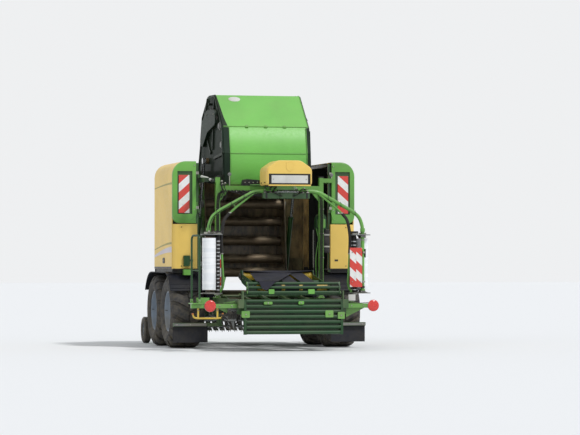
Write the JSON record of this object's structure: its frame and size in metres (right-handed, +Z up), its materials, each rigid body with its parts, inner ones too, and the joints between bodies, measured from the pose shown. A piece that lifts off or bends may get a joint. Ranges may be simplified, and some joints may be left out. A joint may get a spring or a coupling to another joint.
{
  "type": "round baler with bale wrapper",
  "caption": "Towed round baler with a bale wrapper behind it: hinged tailgate, transfer fork, tilting table and a rotor with film arms that turns about a vertical axis.",
  "frame": {"origin": "on the floor, midway between the coupling ring's tip and the table's rearmost tube, in the middle plane", "axes": "+Y the driving direction, +X the machine's right, +Z up"},
  "size_m": [2.84, 7.15, 3.6819],
  "materials": {
    "green_paint": "semi-gloss, dusty",
    "dark_green_paint": "semi-gloss, dusty",
    "beige_paint": "gloss",
    "rubber_black": "matt",
    "tyre_rubber": "matt, dusty",
    "rim_paint": "semi-gloss, dusty",
    "grey_steel": "semi-gloss",
    "bright_steel": "bright",
    "worn_steel": "dusty, worn",
    "black_paint": "semi-gloss",
    "film_white": "glossy film",
    "plate_white": "blank",
    "yellow_paint": "semi-gloss",
    "board_stripes": "diagonal red and white stripes",
    "lamp_red": "translucent"
  },
  "bodies": {
    "frame": {"chassis_frame": "dark_green_paint", "drawbar": "green_paint", "tow_eye": "dark_green_paint", "gearbox": "grey_steel", "infeed_housing": "dark_green_paint", "axles": "dark_green_paint", "chamber_front": "green_paint", "chamber_rollers": "worn_steel", "binding_box": "green_paint", "side_frames": "dark_green_paint", "rear_boxes": "beige_paint", "mudguards": "dark_green_paint", "mudflaps": "rubber_black", "wrap_portal": "green_paint", "hub_cover": "beige_paint", "number_plate": "plate_white", "rear_ramp": "dark_green_paint", "lamp_brackets": "green_paint", "lamps": "lamp_red", "guard_hoop": "black_paint", "marker_bar": "yellow_paint", "valve_block": "grey_steel"},
    "jack": {"jack_leg": "grey_steel"},
    "wheel_rear_left": {"tyre_rear_left": "tyre_rubber", "rim_rear_left": "rim_paint"},
    "wheel_rear_right": {"tyre_rear_right": "tyre_rubber", "rim_rear_right": "rim_paint"},
    "wheel_front_left": {"tyre_front_left": "tyre_rubber", "rim_front_left": "rim_paint"},
    "wheel_front_right": {"tyre_front_right": "tyre_rubber", "rim_front_right": "rim_paint"},
    "pickup": {"pickup_frame": "green_paint"},
    "reel": {"pickup_reel": "bright_steel"},
    "gauge_left": {"gauge_wheel_left": "tyre_rubber"},
    "gauge_right": {"gauge_wheel_right": "tyre_rubber"},
    "tailgate": {"tailgate": "green_paint", "tailgate_rollers": "worn_steel"},
    "barrel_left": {"cylinder_barrel_left": "dark_green_paint"},
    "barrel_right": {"cylinder_barrel_right": "dark_green_paint"},
    "rod_left": {"cylinder_rod_left": "bright_steel"},
    "rod_right": {"cylinder_rod_right": "bright_steel"},
    "rotor": {"wrap_rotor": "dark_green_paint", "wrap_arms": "green_paint", "film_units": "grey_steel", "warning_boards": "board_stripes"},
    "film_left": {"film_roll_left": "film_white"},
    "film_right": {"film_roll_right": "film_white"},
    "table": {"wrap_table": "dark_green_paint", "table_rollers": "yellow_paint", "table_belts": "rubber_black", "transfer_apron": "rubber_black"},
    "fork": {"transfer_fork": "dark_green_paint"},
    "panel_left": {"side_panel_left": "beige_paint"},
    "panel_right": {"side_panel_right": "beige_paint"},
    "cover_left": {"rear_cover_left": "green_paint"},
    "cover_right": {"rear_cover_right": "green_paint"}
  },
  "joints": [
    {"name": "wheel_rear_left_spin", "type": "hinge", "parent": "frame", "child": "wheel_rear_left", "pos_m": [-1.15, -1.395, 0.525], "axis": [1, 0, 0], "continuous": true},
    {"name": "wheel_rear_right_spin", "type": "hinge", "parent": "frame", "child": "wheel_rear_right", "pos_m": [1.15, -1.395, 0.525], "axis": [1, 0, 0], "continuous": true},
    {"name": "wheel_front_left_spin", "type": "hinge", "parent": "frame", "child": "wheel_front_left", "pos_m": [-1.15, -0.295, 0.525], "axis": [1, 0, 0], "continuous": true},
    {"name": "wheel_front_right_spin", "type": "hinge", "parent": "frame", "child": "wheel_front_right", "pos_m": [1.15, -0.295, 0.525], "axis": [1, 0, 0], "continuous": true},
    {"name": "pickup_lift", "type": "hinge", "parent": "frame", "child": "pickup", "pos_m": [0, 0.125, 0.75], "axis": [1, 0, 0], "range_deg": [0, 18]},
    {"name": "pickup_reel_spin", "type": "hinge", "parent": "pickup", "child": "reel", "pos_m": [0, 0.775, 0.4], "axis": [1, 0, 0], "continuous": true},
    {"name": "gauge_wheel_left_spin", "type": "hinge", "parent": "pickup", "child": "gauge_left", "pos_m": [-1.28, 0.875, 0.205], "axis": [1, 0, 0], "continuous": true},
    {"name": "gauge_wheel_right_spin", "type": "hinge", "parent": "pickup", "child": "gauge_right", "pos_m": [1.28, 0.875, 0.205], "axis": [1, 0, 0], "continuous": true},
    {"name": "tailgate_hinge", "type": "hinge", "parent": "frame", "child": "tailgate", "pos_m": [0, -0.225, 2.4], "axis": [-1, 0, 0], "range_deg": [-75, 0]},
    {"name": "cylinder_swing_left", "type": "hinge", "parent": "frame", "child": "barrel_left", "pos_m": [-0.7, 0.025, 1], "axis": [-1, 0, 0], "range_deg": [-11.48, 0]},
    {"name": "cylinder_stroke_left", "type": "slide", "parent": "barrel_left", "child": "rod_left", "axis": [0, -0.3991, 0.9169], "range_m": [-0.669, 0]},
    {"name": "cylinder_swing_right", "type": "hinge", "parent": "frame", "child": "barrel_right", "pos_m": [0.7, 0.025, 1], "axis": [-1, 0, 0], "range_deg": [-11.48, 0]},
    {"name": "cylinder_stroke_right", "type": "slide", "parent": "barrel_right", "child": "rod_right", "axis": [0, -0.3991, 0.9169], "range_m": [-0.669, 0]},
    {"name": "rotor_spin", "type": "hinge", "parent": "frame", "child": "rotor", "pos_m": [0, -3.075, 2.2], "axis": [0, 0, 1], "continuous": true},
    {"name": "film_roll_left_spin", "type": "hinge", "parent": "rotor", "child": "film_left", "pos_m": [-1.12, -3.195, 1.2], "axis": [0, 0, 1], "continuous": true},
    {"name": "film_roll_right_spin", "type": "hinge", "parent": "rotor", "child": "film_right", "pos_m": [1.12, -2.955, 1.2], "axis": [0, 0, 1], "continuous": true},
    {"name": "table_tilt", "type": "hinge", "parent": "frame", "child": "table", "pos_m": [0, -3.495, 0.8], "axis": [1, 0, 0], "range_deg": [0, 35]},
    {"name": "fork_lift", "type": "hinge", "parent": "frame", "child": "fork", "pos_m": [0, -2.275, 0.66], "axis": [1, 0, 0], "range_deg": [0, 55]},
    {"name": "jack_slide", "type": "slide", "parent": "frame", "child": "jack", "axis": [0, 0, 1], "range_m": [0, 0.4]},
    {"name": "side_panel_left_hinge", "type": "hinge", "parent": "frame", "child": "panel_left", "pos_m": [-1, -0.925, 2.68], "axis": [0, 1, 0], "range_deg": [0, 75]},
    {"name": "side_panel_right_hinge", "type": "hinge", "parent": "frame", "child": "panel_right", "pos_m": [1, -0.925, 2.68], "axis": [0, -1, 0], "range_deg": [0, 75]},
    {"name": "rear_cover_left_hinge", "type": "hinge", "parent": "frame", "child": "cover_left", "pos_m": [-0.972, -1.677, 2.2], "axis": [0, 0, 1], "range_deg": [0, 80]},
    {"name": "rear_cover_right_hinge", "type": "hinge", "parent": "frame", "child": "cover_right", "pos_m": [0.972, -1.677, 2.2], "axis": [0, 0, -1], "range_deg": [0, 80]}
  ],
  "couplings": [
    {"joint": "cylinder_swing_left", "follows": "tailgate_hinge", "ratio": 0.15286},
    {"joint": "cylinder_stroke_left", "follows": "tailgate_hinge", "m_per_rad": 0.5098},
    {"joint": "cylinder_swing_right", "follows": "tailgate_hinge", "ratio": 0.15286},
    {"joint": "cylinder_stroke_right", "follows": "tailgate_hinge", "m_per_rad": 0.5098}
  ]
}
